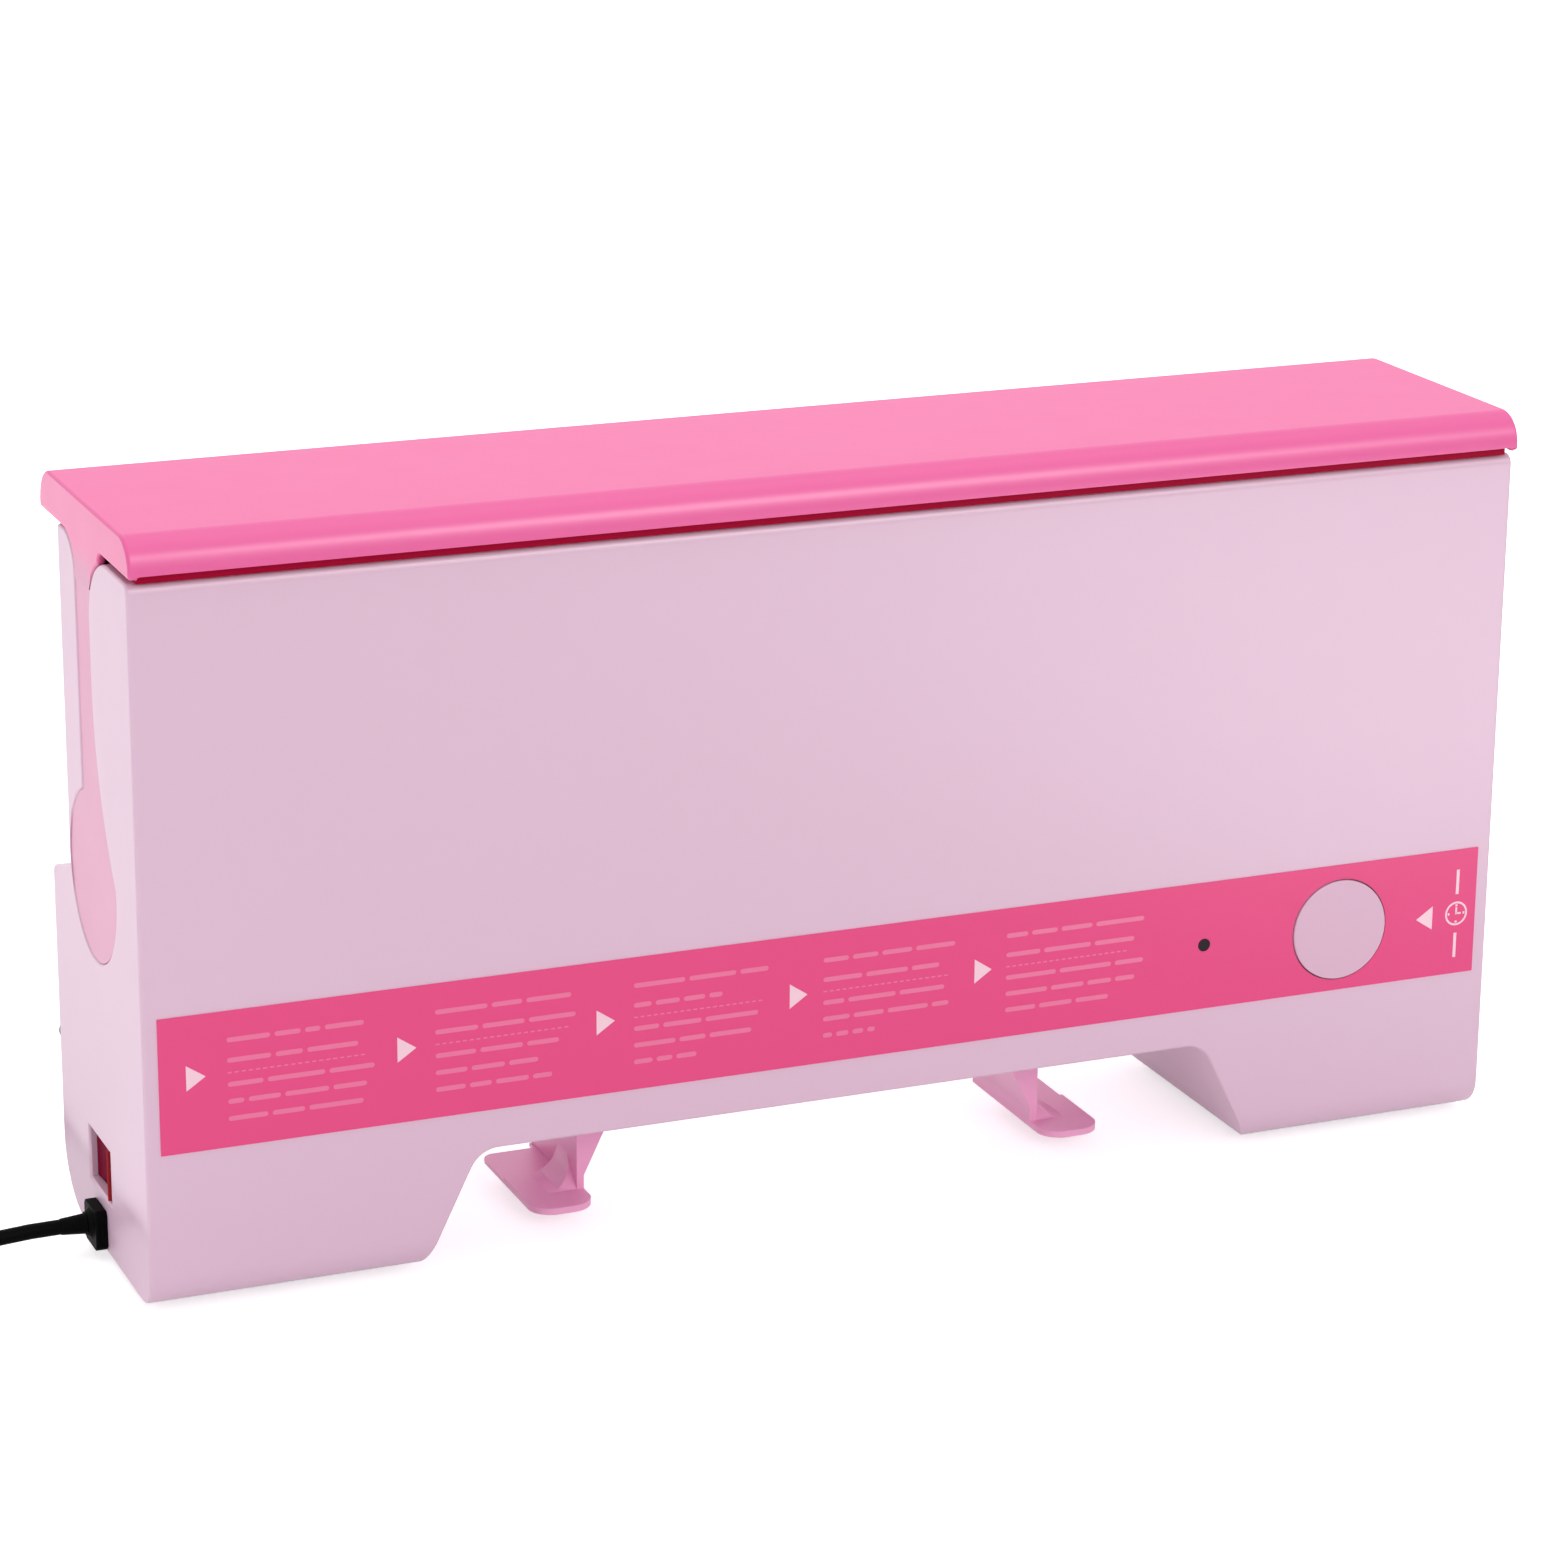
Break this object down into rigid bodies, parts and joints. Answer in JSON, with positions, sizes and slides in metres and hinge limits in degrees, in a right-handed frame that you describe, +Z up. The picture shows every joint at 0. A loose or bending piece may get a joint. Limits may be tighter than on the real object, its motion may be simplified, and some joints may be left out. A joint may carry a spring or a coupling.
{
  "type": "thermal book binder",
  "caption": "Slim pink desktop machine for thermal book binding, with a hinged lid over its slot, a timer button, a side power switch and cord hooks under the arch.",
  "frame": {"origin": "on the table under the middle of the machine's box, cord and plug left out", "axes": "+X along the machine towards the timer button's end, +Y towards the back, +Z up"},
  "size_m": [0.5267, 0.1884, 0.2214],
  "materials": {
    "housing_plastic": "satin",
    "lid_plastic": "satin",
    "liner_plastic": "matt",
    "core_plastic": "satin",
    "hook_plastic": "satin",
    "label_film": "printed film",
    "channel_aluminium": "extruded",
    "sheet_steel": "plated",
    "heater_film": "film",
    "insulator": "matt",
    "board_resin": "solder mask",
    "component_black": "moulded",
    "component_blue": "moulded",
    "terminal_green": "moulded",
    "lamp_red": "clear resin",
    "lens_dark": "smoked",
    "guide_white": "moulded",
    "rocker_red": "clear red",
    "brass_tabs": "plated",
    "wire_brown": "insulation",
    "wire_white": "insulation",
    "cord_rubber": "moulded",
    "foot_rubber": "moulded",
    "screw_steel": "zinc plated"
  },
  "bodies": {
    "casing": {"front_housing": "housing_plastic", "rear_cover": "housing_plastic", "left_duct_end": "core_plastic", "right_duct_end": "core_plastic", "duct_front_wall": "core_plastic", "duct_rear_wall": "core_plastic", "heater_channel": "channel_aluminium", "heater_strip": "heater_film", "heater_clamp": "sheet_steel", "heater_screws": "screw_steel", "channel_insulators": "insulator", "heat_shield": "sheet_steel", "shield_cradles": "guide_white", "thermostat": "insulator", "thermal_fuse": "sheet_steel", "control_board": "board_resin", "mains_relay": "component_blue", "power_module": "component_black", "board_capacitor": "component_blue", "beeper": "component_black", "terminal_block": "terminal_green", "timer_switch": "component_black", "indicator_lamp": "lamp_red", "indicator_lens": "lens_dark", "control_label": "label_film", "button_spring": "screw_steel", "button_guide": "guide_white", "power_switch_body": "component_black", "switch_terminals": "brass_tabs", "mains_wires": "wire_brown", "heater_wires": "wire_white", "cord_bushing": "cord_rubber", "cord_lead": "cord_rubber", "cord_coil": "cord_rubber", "cord_tail": "cord_rubber", "cord_tie": "component_black", "plug_body": "cord_rubber", "plug_blades": "brass_tabs", "left_cord_hook": "hook_plastic", "right_cord_hook": "hook_plastic", "rubber_feet": "foot_rubber", "rear_bumpers": "foot_rubber", "hinge_brackets": "sheet_steel", "hinge_pins": "screw_steel", "cover_screws": "screw_steel", "board_screws": "screw_steel"},
    "lid": {"lid_shell": "lid_plastic", "lid_liner": "liner_plastic", "lid_screws": "screw_steel"},
    "timer_key": {"timer_button": "housing_plastic"},
    "rocker": {"power_rocker": "rocker_red"}
  },
  "joints": [
    {"name": "lid_hinge", "type": "hinge", "parent": "casing", "child": "lid", "pos_m": [0, 0.03375, 0.2045], "axis": [-1, 0, 0], "range_deg": [0, 100]},
    {"name": "timer_press", "type": "slide", "parent": "casing", "child": "timer_key", "axis": [0, 1, 0], "range_m": [0, 0.0015], "stiffness_N_per_m": 900, "springref_m": -0.0008, "deforming": ["button_spring"]},
    {"name": "power_rock", "type": "hinge", "parent": "casing", "child": "rocker", "pos_m": [-0.2, 0.005, 0.0265], "axis": [0, 0, 1], "range_deg": [0, 14]}
  ]
}
